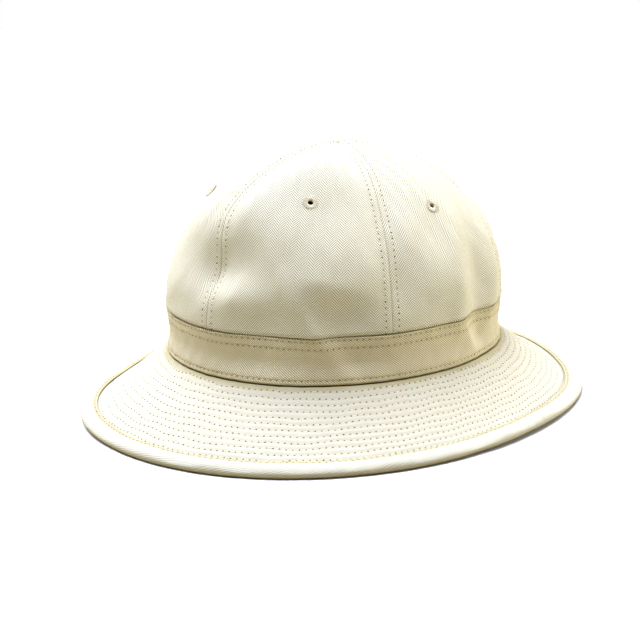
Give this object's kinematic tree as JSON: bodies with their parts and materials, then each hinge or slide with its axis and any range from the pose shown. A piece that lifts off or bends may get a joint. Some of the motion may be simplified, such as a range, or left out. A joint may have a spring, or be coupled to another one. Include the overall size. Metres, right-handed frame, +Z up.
{
  "type": "fatigue hat",
  "caption": "Soft domed cotton hat with gored crown panels, stitched eyelets, a plain band and a sloping quilted brim with a padded bound edge.",
  "frame": {"origin": "under the middle of the brim, on the surface that the hat rests on", "axes": "+Z up, the front of the hat towards -Y, the wearer's left towards +X"},
  "size_m": [0.2663, 0.3014, 0.1395],
  "materials": {
    "crown_twill": "cream herringbone twill, matt",
    "band_twill": "cream diagonal twill, matt",
    "brim_twill": "cream quilted twill, matt",
    "eyelet_thread": "ecru cotton thread"
  },
  "bodies": {
    "root": {"crown_panel_1": "crown_twill", "crown_panel_2": "crown_twill", "crown_panel_3": "crown_twill", "crown_panel_4": "crown_twill", "crown_panel_5": "crown_twill", "crown_panel_6": "crown_twill", "eyelet_1": "eyelet_thread", "eyelet_2": "eyelet_thread", "eyelet_3": "eyelet_thread", "eyelet_4": "eyelet_thread", "eyelet_5": "eyelet_thread", "eyelet_6": "eyelet_thread", "hat_band": "band_twill", "brim": "brim_twill", "brim_edge": "brim_twill"}
  },
  "joints": []
}
